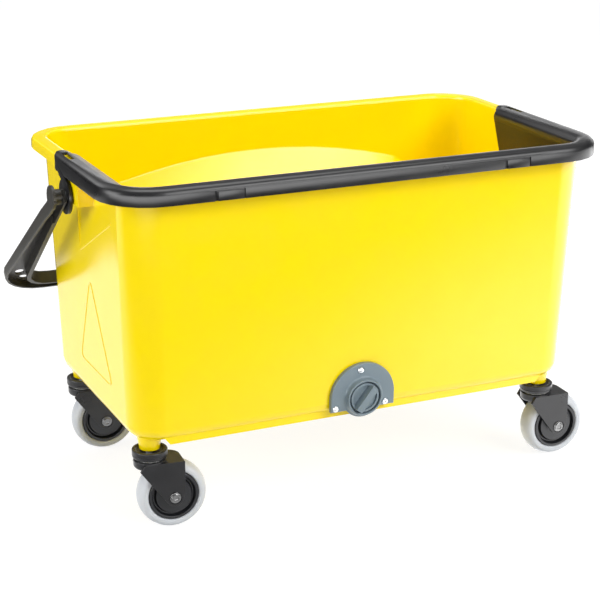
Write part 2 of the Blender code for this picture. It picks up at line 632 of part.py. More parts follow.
def make_caster(tag, x, y, looks, body):
    """Fixed stem, cap and washer on the tub; fork, axle and nut swivel; hub, bush and tyre roll."""
    fixed = empty("stem_axis_" + tag, (x, y, 0), parent=body)
    stem = ((STEM_HEAD, STEM_HEAD_FOOT), (STEM_HEAD, FORK_UNDER - GAP), (STEM_RADIUS, FORK_UNDER - GAP),
            (STEM_RADIUS, SOCKET_TOP - 0.0060), (STEM_RADIUS - 0.0012, SOCKET_TOP - 0.0042))
    solid("caster_stem_" + tag, turned(stem, 10), looks["steel"], fixed)
    bore = bore_radius(STEM_RADIUS, 12)
    cap = ((bore, CAP_FOOT), (CAP_RADIUS - 0.001, CAP_FOOT), (CAP_RADIUS, CAP_FOOT + 0.001),
           (CAP_RADIUS, CAP_TOP - 0.002), (CAP_RADIUS - 0.002, CAP_TOP), (CAP_RADIUS - 0.004, CAP_TOP),
           (SOCKET_RADIUS - 0.002, CAP_TOP - 0.0035), (bore, CAP_TOP - 0.0035))
    solid("caster_cap_" + tag, turned(cap, 18, True), looks["black"], fixed)
    low, high = FORK_TOP + GAP, CAP_FOOT - GAP
    washer = ((bore, low), (0.0150, low), (0.0150, high), (bore, high))
    solid("caster_washer_" + tag, turned(washer, 12, True), looks["nylon"], fixed)

    swivel = empty("swivel_axis_" + tag, (x, y, 0), (0, 0, math.radians(CASTER_YAW[tag])), body)
    make_fork(tag, looks["black"], swivel)
    across = Matrix.Rotation(math.pi / 2, 4, "X")
    axle_axis = empty("axle_axis_" + tag, (TRAIL, 0, WHEEL_RADIUS), parent=swivel)
    half = FORK_HALF_WIDTH
    axle = ((AXLE_HEAD - 0.0008, half + 0.0024), (AXLE_HEAD, half + 0.0016), (AXLE_HEAD, half + GAP),
            (AXLE_RADIUS, half + GAP), (AXLE_RADIUS, -half - 0.0062), (AXLE_RADIUS - 0.0006, -half - 0.0068))
    solid("caster_axle_" + tag, turned(axle, 10), looks["steel"], axle_axis, across)
    bore = bore_radius(AXLE_RADIUS, 6)
    nut = ((bore, -half - 0.0050), (0.0068, -half - 0.0050), (0.0074, -half - 0.0044),
           (0.0074, -half - GAP), (bore, -half - GAP))
    solid("axle_nut_" + tag, turned(nut, 6, True), looks["steel"], axle_axis, across)

    wide = TYRE_HALF_WIDTH
    true = 1 / math.cos(math.pi / WHEEL_STEPS)
    tread = WHEEL_RADIUS * true
    seat = TYRE_BORE * true
    crown = ((0.0, 0.0030), (-0.0022, wide - 0.0030), (-0.0065, wide))
    tyre = [(seat, -wide)] + [(tread + drop, -out) for drop, out in reversed(crown)]
    tyre += [(tread + drop, out) for drop, out in crown] + [(seat, wide)]
    solid("wheel_tyre_" + tag, turned(tyre, WHEEL_STEPS, True), looks["tyre"], axle_axis, across)
    bush_out = AXLE_RADIUS + 0.0024
    felloe = seat - GAP
    bore = bore_radius(bush_out, WHEEL_STEPS)
    side = ((bore, 0.0008), (0.0196, -0.0006), (0.0206, -0.0052), (0.0226, -0.0052), (0.0236, 0.0003),
            (felloe, 0.0003))
    hub = [(radius, -wide - out) for radius, out in side]
    hub += [(radius, wide + out) for radius, out in reversed(side)]
    solid("wheel_hub_" + tag, turned(hub, WHEEL_STEPS, True), looks["hub"], axle_axis, across)
    bore = bore_radius(AXLE_RADIUS, 8)
    reach = FORK_HALF_WIDTH - FORK_CHEEK - GAP
    bush = ((bore, -reach), (bush_out, -reach), (bush_out, reach), (bore, reach))
    solid("wheel_bush_" + tag, turned(bush, 8, True), looks["steel"], axle_axis, across)


# Drain

def drain_outline(shrink):
    """Half-round plate with a straight foot, as (x, z) points about the collar's centre."""
    half = DRAIN_PLATE_HALF - shrink
    foot = DRAIN_PLATE_FOOT + shrink
    return [(-half, foot), (half, foot)] + arc((0, 0), half, 0, 180, 14)


def plate(y_near, y_far, shrink):
    outline = [Vector((x, y_near, z)) for x, z in drain_outline(shrink)]
    return prism(outline, (0, y_far - y_near, 0))


def make_drain(looks, drain, body_axis):
    """Flange, gasket and screws are fixed; the seal slides out and the plug turns on it."""
    across = Matrix.Rotation(math.pi / 2, 4, "X")
    seat = -GAP - GASKET_THICK - GAP
    front = seat - DRAIN_PLATE_THICK
    gasket = solid("drain_gasket", plate(-GAP, -GAP - GASKET_THICK, 0.0010), looks["seal"], drain)
    gasket_holes = [turned(((SPIGOT_OUT + GAP, -0.01), (SPIGOT_OUT + GAP, 0.01)), DRAIN_STEPS)]
    flange = solid("drain_flange", plate(seat, front, 0), looks["grey"], drain)
    collar = turned(((SPIGOT_OUT, -SPIGOT_DEPTH), (SPIGOT_OUT, -seat + 0.0008),
                     (COLLAR_OUT + 0.0012, -seat + 0.0016), (COLLAR_OUT, COLLAR_REACH - 0.001),
                     (COLLAR_OUT - 0.0008, COLLAR_REACH)), DRAIN_STEPS)
    bore = turned(((SPIGOT_IN, -0.03), (SPIGOT_IN, 0.0050), (COLLAR_IN, 0.0060), (COLLAR_IN, 0.03)),
                  DRAIN_STEPS)
    flange_holes = [bore]
    for shape in gasket_holes + [collar, bore]:
        bmesh.ops.transform(shape, matrix=across, verts=shape.verts)
    for tag, x, z in SCREW_SPOTS:
        place = Matrix.Translation((x, 0, z)) @ across
        gasket_hole = turned(((SCREW_BORE, -0.01), (SCREW_BORE, 0.01)), 8)
        flange_hole = turned(((SCREW_BORE, -0.01), (SCREW_BORE, 0.02)), 8)
        screw = turned(((0.0014, -SCREW_BITE), (0.0014, -front + GAP), (0.0036, -front + GAP),
                        (0.0036, -front + 0.0012), (0.0022, -front + 0.0026)), 8)
        for shape in (gasket_hole, flange_hole):
            bmesh.ops.transform(shape, matrix=place, verts=shape.verts)
        gasket_holes.append(gasket_hole)
        flange_holes.append(flange_hole)
        solid("drain_screw_" + tag, screw, looks["steel"], drain, place)
    combine(gasket, gasket_holes, "DIFFERENCE")
    combine(flange, [collar], "UNION")
    combine(flange, flange_holes, "DIFFERENCE")

    seal_mid, seal_radius = 0.0006, 0.0011
    groove = SPIGOT_IN - GAP - 2 * seal_radius
    ring = [(groove + seal_radius + a, -seal_mid + b) for a, b in arc((0, 0), seal_radius, 0, 300, 5)]
    solid("drain_seal", turned(ring, DRAIN_STEPS, True), looks["seal"], body_axis, across)
    knob = COLLAR_IN - 0.0010
    face = COLLAR_REACH - 0.0006
    core = groove - GAP
    shank = SPIGOT_IN - GAP
    gap = seal_radius + GAP
    profile = ((shank - 0.001, -0.0080), (shank, -0.0070), (shank, -seal_mid - gap), (core, -seal_mid - gap),
               (core, -seal_mid + gap), (shank, -seal_mid + gap), (shank, 0.0070), (knob, 0.0070),
               (knob, face - 0.001), (knob - 0.001, face))
    plug = solid("drain_plug", turned(profile, DRAIN_STEPS), looks["grey"], body_axis, across)
    cups = []
    for side in (-1, 1):
        half_bar = 0.0035
        sweep = math.degrees(math.acos(half_bar / (knob - 0.0022)))
        cup = arc((0, 0), knob - 0.0022, -sweep, sweep, 10)
        bm = prism([Vector((side * a, b, face - 0.0075)) for a, b in cup], (0, 0, 0.02))
        turn = across @ Matrix.Rotation(math.radians(-38), 4, "Z")
        bmesh.ops.transform(bm, matrix=turn, verts=bm.verts)
        cups.append(bm)
    combine(plug, cups, "DIFFERENCE")


def make_looks():
    return {
        "yellow": finish("yellow_polypropylene", (0.95, 0.74, 0.005), 0.28),
        "black": finish("black_polypropylene", (0.020, 0.020, 0.022), 0.42),
        "bail": finish("charcoal_polypropylene", (0.030, 0.028, 0.026), 0.45),
        "grey": finish("grey_polypropylene", (0.16, 0.20, 0.23), 0.40),
        "hub": finish("dark_hub_plastic", (0.025, 0.026, 0.030), 0.40),
        "tyre": finish("grey_rubber_tyre", (0.55, 0.57, 0.60), 0.55),
        "steel": finish("zinc_plated_steel", (0.62, 0.62, 0.61), 0.30, 1.0),
        "nylon": finish("white_nylon", (0.80, 0.80, 0.78), 0.50),
        "seal": finish("black_seal_rubber", (0.015, 0.015, 0.015), 0.70),
    }


def centre_object(body):
    """Move the parent empty so that the whole object is centred over the origin in Y."""
    bpy.context.view_layer.update()
    ys = [(item.matrix_world @ vertex.co).y for item in bpy.data.objects if item.type == "MESH"
          for vertex in item.data.vertices]
    body.location.y = -(min(ys) + max(ys)) / 2
    bpy.context.view_layer.update()


def main():
    clear_scene()
    looks = make_looks()
    body = empty("body_frame", (0, 0, 0))
    lean = math.atan2(WALL_HALF_WIDTH - FOOT_HALF_WIDTH, RIM_UNDER - FLOOR_UNDER)
    drain = empty("drain_axis", (DRAIN_X, -wall_y(DRAIN_Z), DRAIN_Z), (lean, 0, 0), body)
    make_tub(looks["yellow"], body, drain)
    make_trim(looks["black"], body)
    make_pin("bail_pin_left", -1, looks["steel"], body)
    make_pin("bail_pin_right", 1, looks["steel"], body)
    bail_axis = empty("bail_axis", (0, PIVOT_Y, PIVOT_Z), (-BAIL_DROP, 0, 0), body)
    make_bail(looks["bail"], bail_axis)
    for tag, x, y in caster_spots():
        make_caster(tag, x, y, looks, body)
    make_drain(looks, drain, drain)
    centre_object(body)


main()
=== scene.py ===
"""Looks of the wheeled mop bucket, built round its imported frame.

The tub, the rim trim and the bail are worked up from copies of their solids. Casters, drain and drain
screws are modelled here, and the small hidden solids stay as they are. Metres, in the frame's own axes:
X along the tub, drain on the -Y side, +Z up.
"""
import json
import math

import bmesh
import bpy
from mathutils import Matrix, Vector


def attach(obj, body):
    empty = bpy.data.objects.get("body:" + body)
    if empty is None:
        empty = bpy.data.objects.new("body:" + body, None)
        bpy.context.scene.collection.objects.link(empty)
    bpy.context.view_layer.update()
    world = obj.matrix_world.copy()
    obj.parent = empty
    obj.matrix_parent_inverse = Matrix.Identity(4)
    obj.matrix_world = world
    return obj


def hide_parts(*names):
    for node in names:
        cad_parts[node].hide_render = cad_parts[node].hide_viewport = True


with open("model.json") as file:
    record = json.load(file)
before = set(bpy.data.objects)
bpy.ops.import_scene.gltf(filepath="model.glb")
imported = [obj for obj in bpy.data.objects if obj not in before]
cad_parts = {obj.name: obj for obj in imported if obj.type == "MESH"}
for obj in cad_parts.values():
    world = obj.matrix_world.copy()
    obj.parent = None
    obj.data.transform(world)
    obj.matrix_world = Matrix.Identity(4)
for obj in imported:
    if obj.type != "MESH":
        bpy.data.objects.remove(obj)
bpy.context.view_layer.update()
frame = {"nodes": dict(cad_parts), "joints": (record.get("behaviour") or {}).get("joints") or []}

# Tub, trim and bail, as in the solids
PIVOT_Y = -0.010
FLOOR_UNDER = 0.1044
RIM_UNDER = 0.3756
RIM_TOP = 0.3784
RIM_HALF_LENGTH = 0.2852
FOOT_HALF_LENGTH = 0.2600
WALL_HALF_LENGTH = 0.2704
APRON_ENDS = {-1: 0.017, 1: 0.041}
APRON_SLANT = 0.40
BAIL_DROP = math.radians(39.0)
BAIL_INNER = 0.2888
BAIL_NEAR = 0.2160
BAIL_WIDTH = 0.0265
BAIL_FOOT = -0.0112

# Casters, as in the solids
CASTERS = ("fl", "fr", "bl", "br")
TRAIL = 0.0222
WHEEL_RADIUS = 0.0375
TYRE_HALF_WIDTH = 0.0122
TYRE_BORE = 0.0275
TYRE_CROWN = 0.0065
FORK_TOP = 0.0792
FORK_UNDER = 0.0761
SKIRT_FOOT = 0.0705
FORK_HALF_WIDTH = 0.0182
FORK_CHEEK = 0.0034
FORK_RING = 0.0176
HOOD_END = 0.0333
HOOD_DROP = 0.0011
CAP_RADIUS = 0.0190
CAP_TOP = 0.0907
CAP_FOOT = 0.0812
STEM_BORE = 0.0060
STEM_HEAD = 0.0075

# Drain as drawn here: plate and collar differ from the solids, and the screws stand up to 4 mm from theirs
PLATE_HALF = 0.0380
PLATE_FOOT = -0.0145
PLATE_BACK = 0.0023
PLATE_FRONT = 0.0053
COLLAR_OUT = 0.0203
COLLAR_IN = 0.0183
COLLAR_SEAT = 0.0060
COLLAR_REACH = 0.0118
KNOB = 0.0166
KNOB_FACE = 0.0108
GRIP_TOP = 0.0172
GRIP_HALF = 0.0040
GRIP_TURN = math.radians(-38.0)
SCREW_SPOTS = (("top", -0.0036, 0.0306), ("left", -0.0326, -0.0102), ("right", 0.0270, -0.0102))

# Forms that only the scene has, and where the bail's outer flange is trimmed
ARCH_ROUND = 0.0014
TUB_EDGE = 0.0009
TRIM_EDGE = 0.0006
BAIL_EDGE = 0.0007
TRIM_MERGE = 0.0004
LIP_FRONT = -0.1315
CROWN_RISE = 0.0028
BAIL_MIDDLE = 0.2985
BAIL_NECK = 0.030
FLANGE_TRIM = 0.0045
FLANGE_EASE = 0.03
RELIEF_FOOT = 0.2770
RELIEF_TOP = 0.3380
CREASE_SPOT = (0.010, 0.2774)
CREASE_LENGTH = 0.126
CREASE_SLOPE = math.atan(0.5)
SIGN_SPOT = (-0.0165, 0.1455)
SIGN_HALF = 0.0545
SIGN_HEIGHT = 0.1075
SIGN_CORNER = 0.013
SIGN_LINE = 0.0011

# Studio: gloss of its far front, slant of its lit ground, lamps and camera
FRONT_GLOW = 6.8
GROUND_SLANT = 0.55
LAMPS = (("key_softbox", (1.28, -2.28, 1.95), (0, 0, 0.3), (2.2, 1.3), 0.70),
         ("left_softbox", (-3.0, 0.4, 1.2), (0, 0, 0.25), (1.6, 1.6), 0.50),
         ("top_softbox", (0.2, 0.3, 3.2), (0, 0, 0.25), (2.4, 1.8), 0.66))
CAMERA_SPOT = (-0.76384, -1.63134, 0.78431)
CAMERA_YAW = 0.4318
CAMERA_PITCH = 0.3202
CAMERA_ROLL = 0.0051
CAMERA_LENS = 99.404

joints = {joint["name"]: joint for joint in frame["joints"]}
shift_y = joints["bail_swing"]["pos_m"][1] - PIVOT_Y


# Selecting and shaping

def clear_selection():
    """Leave edit mode with nothing selected."""
    if bpy.context.mode != "OBJECT":
        bpy.ops.object.mode_set(mode="OBJECT")
    bpy.ops.object.select_all(action="DESELECT")


def activate(piece):
    """Make a piece the only one selected, and the active one."""
    clear_selection()
    piece.select_set(True)
    bpy.context.view_layer.objects.active = piece


def named(name):
    """Name the primitive that was just added, and its mesh."""
    piece = bpy.context.object
    piece.name = name
    piece.data.name = name
    return piece


def settle(piece, matrix=None):
    """Apply a piece's place, turn and size, so that its object sits at the origin."""
    activate(piece)
    if matrix is not None:
        piece.matrix_world = matrix @ piece.matrix_world
    bpy.ops.object.transform_apply(location=True, rotation=True, scale=True)
    return piece


def into_edit(piece, mode="EDGE"):
    """Open a piece in edit mode with nothing selected."""
    activate(piece)
    bpy.ops.object.mode_set(mode="EDIT")
    bpy.ops.mesh.select_mode(type=mode)
    bpy.ops.mesh.select_all(action="DESELECT")


def pick_edges(piece, test):
    """Select the edges whose two ends pass a test of place."""
    form = bmesh.from_edit_mesh(piece.data)
    for edge in form.edges:
        edge.select_set(all(test(vertex.co) for vertex in edge.verts))
    form.select_flush_mode()
    bmesh.update_edit_mesh(piece.data)


def pick_sharp(piece, low, high=180.0, test=None):
    """Select the edges that fold by an angle between two limits, in degrees."""
    form = bmesh.from_edit_mesh(piece.data)
    form.normal_update()
    for edge in form.edges:
        fold = math.degrees(edge.calc_face_angle(0.0)) if len(edge.link_faces) == 2 else 0.0
        inside = test is None or all(test(vertex.co) for vertex in edge.verts)
        edge.select_set(low <= fold <= high and inside)
    form.select_flush_mode()
    bmesh.update_edit_mesh(piece.data)


def tidy_normals():
    """Turn all faces outwards and leave edit mode."""
    bpy.ops.mesh.select_all(action="SELECT")
    bpy.ops.mesh.normals_make_consistent(inside=False)
    bpy.ops.object.mode_set(mode="OBJECT")


def apply_modifier(piece, kind, **values):
    """Add a modifier with its settings and apply it."""
    activate(piece)
    modifier = piece.modifiers.new(kind.lower(), kind)
    for key, value in values.items():
        setattr(modifier, key, value)
    bpy.ops.object.modifier_apply(modifier=modifier.name)


def join_shape(piece, other, operation):
    """Boolean with another shape, which is then thrown away."""
    apply_modifier(piece, "BOOLEAN", operation=operation, object=other, solver="EXACT")
    bpy.data.objects.remove(other, do_unlink=True)
    return piece


def round_edges(piece, width, angle=35.0, segments=3):
    """Bevel every edge that folds by more than an angle."""
    apply_modifier(piece, "BEVEL", width=width, segments=segments, limit_method="ANGLE",
                   angle_limit=math.radians(angle), miter_outer="MITER_ARC", use_clamp_overlap=True)


def smooth(piece, angle=40.0, flat=True):
    """Smooth shading, by choice with the broad faces kept flat."""
    activate(piece)
    bpy.ops.object.shade_smooth_by_angle(angle=math.radians(angle))
    if flat:
        apply_modifier(piece, "WEIGHTED_NORMAL", mode="FACE_AREA", weight=50, keep_sharp=True)
    return piece


def soften_folds(piece, low, high, width, segments, test):
    """Bevel the folds between two angles in one region."""
    into_edit(piece)
    pick_sharp(piece, low, high, test)
    bpy.ops.mesh.bevel(offset=width, segments=segments, affect="EDGES", clamp_overlap=True)
    tidy_normals()


def fillet(points, size, steps=3):
    """Profile with each inner corner rounded by a short arc."""
    out = [points[0]]
    for before, corner, after in zip(points, points[1:], points[2:]):
        here = Vector(corner)
        back, ahead = Vector(before) - here, Vector(after) - here
        reach = min(size, back.length * 0.45, ahead.length * 0.45)
        start, end = here + back.normalized() * reach, here + ahead.normalized() * reach
        for k in range(steps + 1):
            t = k / steps
            out.append(tuple((1 - t) ** 2 * start + 2 * t * (1 - t) * here + t * t * end))
    out.append(points[-1])
    return out


def lathe(name, profile, steps=64, ring=False):
    """Ring drawn out along Z from step to step of a (radius, height) profile."""
    clear_selection()
    radius, height = profile[0]
    bpy.ops.mesh.primitive_circle_add(vertices=steps, radius=radius, location=(0, 0, height))
    piece = named(name)
    bpy.ops.object.transform_apply(location=True, rotation=True, scale=True)
    bpy.ops.object.mode_set(mode="EDIT")
    bpy.ops.mesh.select_all(action="SELECT")
    path = list(profile) + ([profile[0]] if ring else [])
    for (r0, z0), (r1, z1) in zip(path, path[1:]):
        bpy.ops.mesh.extrude_region_move(TRANSFORM_OT_translate={"value": (0, 0, z1 - z0)})
        bpy.ops.transform.resize(value=(r1 / r0, r1 / r0, 1))
    bpy.ops.mesh.select_all(action="SELECT")
    bpy.ops.mesh.remove_doubles(threshold=1e-6)
    if not ring:
        bpy.ops.mesh.fill_holes(sides=0)
    tidy_normals()
    return piece


def arc(centre, radius, start, end, steps):
    """Points along an arc, between two angles in degrees."""
    angles = [math.radians(start + (end - start) * k / steps) for k in range(steps + 1)]
    return [(centre[0] + radius * math.cos(a), centre[1] + radius * math.sin(a)) for a in angles]


def slab(name, outline, low, high):
    """Flat outline in X and Y, pulled up from one height to another."""
    clear_selection()
    bpy.ops.mesh.primitive_circle_add(vertices=len(outline), radius=1, fill_type="NGON")
    piece = named(name)
    for vertex, (x, y) in zip(piece.data.vertices, outline):
        vertex.co = (x, y, low)
    bpy.ops.object.mode_set(mode="EDIT")
    bpy.ops.mesh.select_all(action="SELECT")
    bpy.ops.mesh.extrude_region_move(TRANSFORM_OT_translate={"value": (0, 0, high - low)})
    tidy_normals()
    return piece


def block(name, low, high):
    """Box between two corners."""
    clear_selection()
    middle = (Vector(low) + Vector(high)) / 2
    bpy.ops.mesh.primitive_cube_add(size=1, location=middle)
    piece = named(name)
    piece.scale = Vector(high) - Vector(low)
    return settle(piece)


def duplicate(piece, name, matrix):
    """Copy with its own mesh, set in another place."""
    copy = bpy.data.objects.new(name, piece.data.copy())
    copy.data.name = name
    bpy.context.collection.objects.link(copy)
    return settle(copy, matrix)


def worked_copy(node, name):
    """Copy of a solid with its loose triangles joined and its flat faces cleaned."""
    clear_selection()
    piece = bpy.data.objects.new(name, frame["nodes"][node].data.copy())
    piece.data.name = name
    bpy.context.collection.objects.link(piece)
    activate(piece)
    if piece.data.has_custom_normals:
        bpy.ops.mesh.customdata_custom_splitnormals_clear()
    bpy.ops.object.mode_set(mode="EDIT")
    bpy.ops.mesh.select_mode(type="EDGE")
    bpy.ops.mesh.select_all(action="SELECT")
    bpy.ops.mesh.remove_doubles(threshold=1e-5)
    bpy.ops.mesh.dissolve_limited(angle_limit=math.radians(0.6))
    bpy.ops.object.mode_set(mode="OBJECT")
    return piece


# Finishes

def add_node(tree, kind, place, **values):
    """Add a shader node with its settings."""
    node = tree.nodes.new(kind)
    node.location = place
    for key, value in values.items():
        setattr(node, key, value)
    return node


def build_moulded_skin():
    """Fine moulded grain and slow waviness as a height, with a blotch mask for colour and gloss."""
    group = bpy.data.node_groups.new("moulded_skin", "ShaderNodeTree")
    for label, value in (("Grain Scale", 1400.0), ("Grain Depth", 0.3),
                         ("Wave Scale", 9.0), ("Wave Depth", 0.5)):
        socket = group.interface.new_socket(label, in_out="INPUT", socket_type="NodeSocketFloat")
        socket.default_value = value
    for label in ("Height", "Blotch"):
        group.interface.new_socket(label, in_out="OUTPUT", socket_type="NodeSocketFloat")
    enter = add_node(group, "NodeGroupInput", (-900, 0))
    leave = add_node(group, "NodeGroupOutput", (500, 0))
    place = add_node(group, "ShaderNodeTexCoord", (-900, -260))
    grain = add_node(group, "ShaderNodeTexNoise", (-600, 160))
    grain.inputs["Detail"].default_value = 3.0
    wave = add_node(group, "ShaderNodeTexNoise", (-600, -120))
    wave.inputs["Detail"].default_value = 1.0
    blotch = add_node(group, "ShaderNodeTexNoise", (-600, -400))
    blotch.inputs["Scale"].default_value = 34.0
    blotch.inputs["Detail"].default_value = 5.0
    fine = add_node(group, "ShaderNodeMath", (-200, 160), operation="MULTIPLY")
    slow = add_node(group, "ShaderNodeMath", (-200, -120), operation="MULTIPLY")
    both = add_node(group, "ShaderNodeMath", (100, 60), operation="ADD")
    link = group.links.new
    for texture, scale in ((grain, "Grain Scale"), (wave, "Wave Scale")):
        link(place.outputs["Object"], texture.inputs["Vector"])
        link(enter.outputs[scale], texture.inputs["Scale"])
    link(place.outputs["Object"], blotch.inputs["Vector"])
    link(grain.outputs["Fac"], fine.inputs[0])
    link(enter.outputs["Grain Depth"], fine.inputs[1])
    link(wave.outputs["Fac"], slow.inputs[0])
    link(enter.outputs["Wave Depth"], slow.inputs[1])
    link(fine.outputs[0], both.inputs[0])
    link(slow.outputs[0], both.inputs[1])
    link(both.outputs[0], leave.inputs["Height"])
    link(blotch.outputs["Fac"], leave.inputs["Blotch"])
    return group


def build_handling_marks():
    """Sparse fine rub marks, drawn out along one axis, as a mask."""
    group = bpy.data.node_groups.new("handling_marks", "ShaderNodeTree")
    for label, value in (("Scale", 60.0), ("Stretch", 14.0), ("Cover", 0.16)):
        socket = group.interface.new_socket(label, in_out="INPUT", socket_type="NodeSocketFloat")
        socket.default_value = value
    group.interface.new_socket("Mask", in_out="OUTPUT", socket_type="NodeSocketFloat")
    enter = add_node(group, "NodeGroupInput", (-900, 0))
    leave = add_node(group, "NodeGroupOutput", (700, 0))
    place = add_node(group, "ShaderNodeTexCoord", (-900, -260))
    turn = add_node(group, "ShaderNodeMapping", (-680, -120))
    turn.inputs["Rotation"].default_value = (0.35, 0.6, 0.5)
    split = add_node(group, "ShaderNodeSeparateXYZ", (-460, -120))
    longer = add_node(group, "ShaderNodeMath", (-460, 120), operation="MULTIPLY")
    squeeze = add_node(group, "ShaderNodeCombineXYZ", (-240, -60))
    noise = add_node(group, "ShaderNodeTexNoise", (-20, 0))
    noise.inputs["Detail"].default_value = 4.0
    edge = add_node(group, "ShaderNodeMath", (180, -160), operation="SUBTRACT")
    edge.inputs[0].default_value = 0.80
    clip = add_node(group, "ShaderNodeMapRange", (400, 0))
    clip.inputs["To Max"].default_value = 1.0
    clip.inputs["From Max"].default_value = 0.82
    link = group.links.new
    link(place.outputs["Object"], turn.inputs["Vector"])
    link(turn.outputs["Vector"], split.inputs[0])
    link(split.outputs["X"], longer.inputs[0])
    link(enter.outputs["Stretch"], longer.inputs[1])
    link(longer.outputs[0], squeeze.inputs["X"])
    link(split.outputs["Y"], squeeze.inputs["Y"])
    link(split.outputs["Z"], squeeze.inputs["Z"])
    link(squeeze.outputs[0], noise.inputs["Vector"])
    link(enter.outputs["Scale"], noise.inputs["Scale"])
    link(enter.outputs["Cover"], edge.inputs[1])
    link(noise.outputs["Fac"], clip.inputs["Value"])
    link(edge.outputs[0], clip.inputs["From Min"])
    link(clip.outputs["Result"], leave.inputs["Mask"])
    return group


moulded_skin = build_moulded_skin()
handling_marks = build_handling_marks()


def moulded_finish(name, colour, shade, gloss, grain=(1400.0, 0.3), wave=(9.0, 0.5), bump=0.10,
                   marks=0.5, metal=0.0, ior=1.5):
    """Moulded, rubber or plated finish: blotched colour, uneven gloss, grain, waviness, rub marks."""
    material = bpy.data.materials.new(name)
    material.use_nodes = True
    tree = material.node_tree
    shader = tree.nodes["Principled BSDF"]
    shader.inputs["Metallic"].default_value = metal
    shader.inputs["IOR"].default_value = ior
    skin = add_node(tree, "ShaderNodeGroup", (-900, 0), node_tree=moulded_skin)
    for label, value in zip(("Grain Scale", "Grain Depth", "Wave Scale", "Wave Depth"), grain + wave):
        skin.inputs[label].default_value = value
    rubs = add_node(tree, "ShaderNodeGroup", (-900, -320), node_tree=handling_marks)
    tint = add_node(tree, "ShaderNodeMix", (-560, 240), data_type="RGBA")
    tint.inputs["A"].default_value = (*colour, 1)
    tint.inputs["B"].default_value = (*shade, 1)
    spread = add_node(tree, "ShaderNodeMapRange", (-740, 240))
    spread.inputs["From Min"].default_value = 0.35
    spread.inputs["From Max"].default_value = 0.65
    dull = add_node(tree, "ShaderNodeMapRange", (-560, -60))
    dull.inputs["From Min"].default_value = 0.3
    dull.inputs["From Max"].default_value = 0.7
    dull.inputs["To Min"].default_value = gloss[0]
    dull.inputs["To Max"].default_value = gloss[1]
    rubbed = add_node(tree, "ShaderNodeMath", (-560, -330), operation="MULTIPLY")
    rubbed.inputs[1].default_value = marks * 0.25
    rough = add_node(tree, "ShaderNodeMath", (-320, -120), operation="ADD")
    relief = add_node(tree, "ShaderNodeBump", (-320, -380))
    relief.inputs["Strength"].default_value = bump
    relief.inputs["Distance"].default_value = 0.001
    link = tree.links.new
    link(skin.outputs["Blotch"], spread.inputs["Value"])
    link(spread.outputs["Result"], tint.inputs["Factor"])
    link(tint.outputs["Result"], shader.inputs["Base Color"])
    link(skin.outputs["Blotch"], dull.inputs["Value"])
    link(rubs.outputs["Mask"], rubbed.inputs[0])
    link(dull.outputs["Result"], rough.inputs[0])
    link(rubbed.outputs[0], rough.inputs[1])
    link(rough.outputs[0], shader.inputs["Roughness"])
    link(skin.outputs["Height"], relief.inputs["Height"])
    link(relief.outputs["Normal"], shader.inputs["Normal"])
    return material


finishes = {
    "yellow": moulded_finish("tub_yellow", (0.985, 0.750, 0.0006), (0.975, 0.736, 0.0008), (0.13, 0.19),
                             grain=(1100.0, 0.10), wave=(7.0, 1.6), bump=0.10),
    "black": moulded_finish("trim_black", (0.0075, 0.0075, 0.0085), (0.0105, 0.0105, 0.0115), (0.27, 0.33),
                            grain=(1500.0, 0.20), wave=(14.0, 0.4), bump=0.10, ior=1.45, marks=0.2),
    "bail": moulded_finish("bail_charcoal", (0.032, 0.030, 0.026), (0.038, 0.036, 0.031), (0.36, 0.43),
                           grain=(1500.0, 0.15), wave=(16.0, 0.2), bump=0.08, ior=1.40),
    "caster": moulded_finish("caster_black", (0.013, 0.013, 0.0145), (0.018, 0.018, 0.020), (0.26, 0.36),
                             grain=(1700.0, 0.2), wave=(30.0, 0.15), bump=0.10, ior=1.44),
    "hub": moulded_finish("hub_dark", (0.012, 0.0125, 0.0145), (0.017, 0.018, 0.021), (0.28, 0.38),
                          grain=(1700.0, 0.2), wave=(30.0, 0.15), bump=0.10, ior=1.44),
    "tyre": moulded_finish("tyre_grey", (0.600, 0.625, 0.660), (0.565, 0.590, 0.625), (0.42, 0.54),
                           grain=(1300.0, 0.5), wave=(40.0, 0.3), bump=0.16),
    "grey": moulded_finish("drain_grey", (0.165, 0.215, 0.250), (0.180, 0.232, 0.268), (0.32, 0.42),
                           grain=(1600.0, 0.5), wave=(24.0, 0.4), bump=0.18),
    "zinc": moulded_finish("plated_steel", (0.82, 0.84, 0.86), (0.74, 0.76, 0.78), (0.22, 0.34),
                           grain=(1800.0, 0.3), wave=(60.0, 0.2), bump=0.10, marks=1.0, metal=1.0),
    "axle": moulded_finish("axle_steel", (0.24, 0.24, 0.24), (0.16, 0.16, 0.16), (0.20, 0.32),
                           grain=(1800.0, 0.3), wave=(60.0, 0.2), bump=0.10, marks=1.0, metal=1.0),
    "nylon": moulded_finish("washer_nylon", (0.78, 0.78, 0.75), (0.72, 0.72, 0.69), (0.40, 0.52)),
    "seal": moulded_finish("seal_rubber", (0.014, 0.014, 0.014), (0.020, 0.020, 0.020), (0.60, 0.75),
                           grain=(1600.0, 0.6), bump=0.2),
}


def dress(piece, finish, body, slot, *nodes):
    """Give a finished piece its material and body, and hide the solids it stands for. The slot argument is not
    used.
    """
    piece.data.materials.clear()
    piece.data.materials.append(finishes[finish])
    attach(piece, body)
    if nodes:
        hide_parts(*nodes)
    return piece


# Tub, trim and bail

def on_arch(co):
    """Whether a point lies on the arched shoulder of the back wall."""
    return co.y > 0.08 and abs(co.x) < 0.21 and 0.13 < co.z < 0.345


